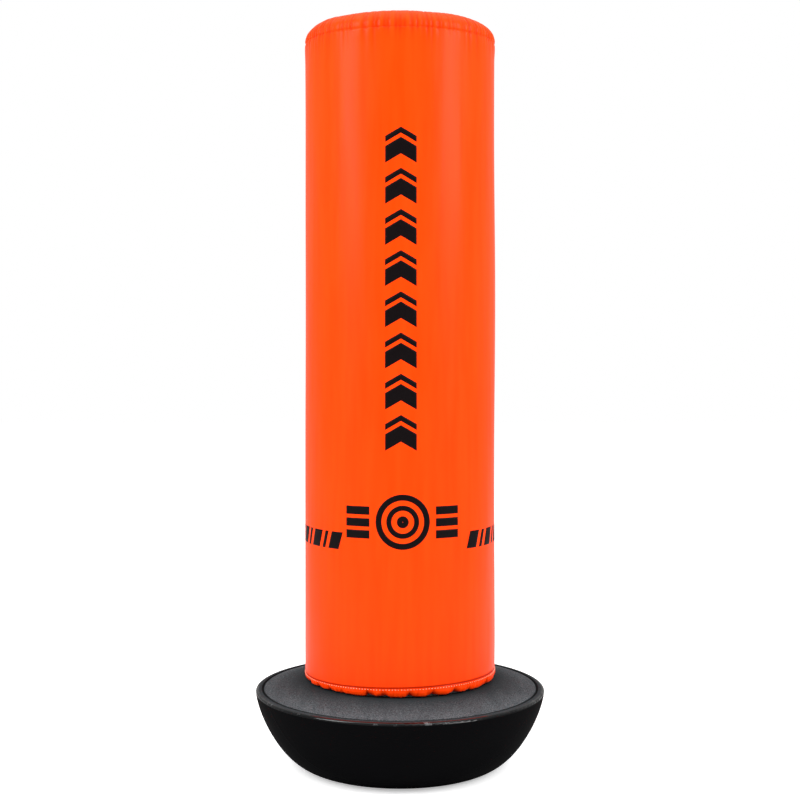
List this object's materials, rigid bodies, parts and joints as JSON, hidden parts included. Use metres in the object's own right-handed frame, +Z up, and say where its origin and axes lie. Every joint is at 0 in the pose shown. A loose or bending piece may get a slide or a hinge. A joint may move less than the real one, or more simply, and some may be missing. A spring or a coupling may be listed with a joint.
{
  "type": "free-standing punching bag",
  "caption": "Tall padded vinyl cylinder on a sprung, swivelling neck, standing on a sand-filled bowl base with a domed deck.",
  "frame": {"origin": "centre of the foot, on the floor", "axes": "+Z up along the bag's axis, the front faces -Y, the zip and filler cap are at +Y"},
  "size_m": [0.6665, 0.6666, 1.7],
  "materials": {
    "orange_vinyl": "satin artificial leather, PVC on knitted cloth",
    "black_polyethylene": "rotomoulded, fine grain on the deck, smooth bowl",
    "sand": "dry sand",
    "zinc_steel": "zinc plated",
    "black_steel": "black powder coat",
    "brass": "turned",
    "bronze": "sintered, oiled",
    "black_rubber": "moulded, matt",
    "black_abs": "moulded, matt",
    "grey_pvc": "extruded pipe",
    "grey_foam": "firm closed-cell foam",
    "white_foam": "soft open-cell foam",
    "black_webbing": "woven",
    "black_nylon": "coil zip filament",
    "nickel_zinc": "die cast, nickel plated"
  },
  "bodies": {
    "base": {"base_shell": "black_polyethylene", "ballast": "sand", "deck_inserts": "brass", "neck_flange": "black_steel", "flange_washers": "zinc_steel", "flange_bolts": "zinc_steel", "post_washer": "zinc_steel", "post_nut": "zinc_steel", "thrust_washer": "bronze"},
    "hub": {"swivel_hub": "black_steel", "hub_bushes": "bronze", "bag_floor": "black_abs", "tray_screws": "zinc_steel", "neck_spring": "black_steel", "lower_foam": "white_foam", "hem_band": "orange_vinyl", "hem_elastic": "black_webbing"},
    "column": {"core_plug": "black_steel", "bump_stop": "black_rubber", "core_tube": "grey_pvc", "tube_bolt": "zinc_steel", "tube_nut": "zinc_steel", "tube_cap": "black_abs", "firm_foam": "grey_foam", "outer_foam": "white_foam", "top_pad": "white_foam", "cover_sleeve": "orange_vinyl", "cover_top": "orange_vinyl", "zip_guard": "black_webbing", "zip_tapes": "black_webbing", "zip_coils": "black_nylon", "zip_stops": "nickel_zinc"},
    "zip_slider": {"zip_slider": "nickel_zinc"},
    "zip_pull": {"zip_pull": "nickel_zinc"},
    "filler_gasket": {"filler_gasket": "black_rubber"},
    "filler_cap": {"filler_cap": "black_polyethylene"}
  },
  "joints": [
    {"name": "bag_swivel", "type": "hinge", "parent": "base", "child": "hub", "pos_m": [0, 0, 0.2], "axis": [0, 0, 1], "continuous": true},
    {"name": "bag_lean", "type": "hinge", "parent": "hub", "child": "column", "pos_m": [0, 0, 0.307], "axis": [1, 0, 0], "range_deg": [-10, 10], "stiffness_Nm_per_rad": 900, "deforming": ["neck_spring", "lower_foam", "cover_sleeve"]},
    {"name": "zip_slide", "type": "slide", "parent": "column", "child": "zip_slider", "axis": [0, 0, 1], "range_m": [0, 1.17], "deforming": ["zip_coils"]},
    {"name": "zip_pull_swing", "type": "hinge", "parent": "zip_slider", "child": "zip_pull", "pos_m": [0, 0.2223, 0.4495], "axis": [1, 0, 0], "range_deg": [0, 170]},
    {"name": "cap_rise", "type": "slide", "parent": "base", "child": "filler_gasket", "axis": [0, 0, 1], "range_m": [0, 0.015]},
    {"name": "cap_turn", "type": "hinge", "parent": "filler_gasket", "child": "filler_cap", "pos_m": [0, 0.268, 0.192], "axis": [0, 0, 1], "range_deg": [0, 901]}
  ],
  "couplings": [
    {"joint": "cap_turn", "follows": "cap_rise", "rad_per_m": 1047.2}
  ]
}
